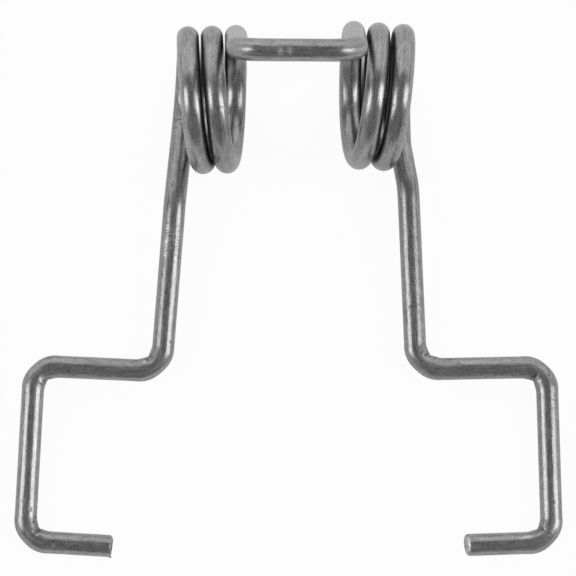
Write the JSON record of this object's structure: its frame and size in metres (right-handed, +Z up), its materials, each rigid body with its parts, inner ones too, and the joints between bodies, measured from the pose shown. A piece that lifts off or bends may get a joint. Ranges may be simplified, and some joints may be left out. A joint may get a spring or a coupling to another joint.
{
  "type": "clutch spring",
  "caption": "Double torsion spring bent from one round steel wire: opposed coils joined by a raised bridge, legs with shoulders and inward hooks.",
  "frame": {"origin": "on the floor that the coils and the hooks' feet stand on, under the middle of the spring seen from above", "axes": "+X from the left hook to the right one, +Y from the hooks to the coils, +Z up from the floor towards the bridge"},
  "size_m": [0.074, 0.0722, 0.0309],
  "materials": {
    "spring_wire": "satin grey drawn spring wire with fine grain along it"
  },
  "bodies": {
    "root": {"clutch_spring": "spring_wire"}
  },
  "joints": []
}
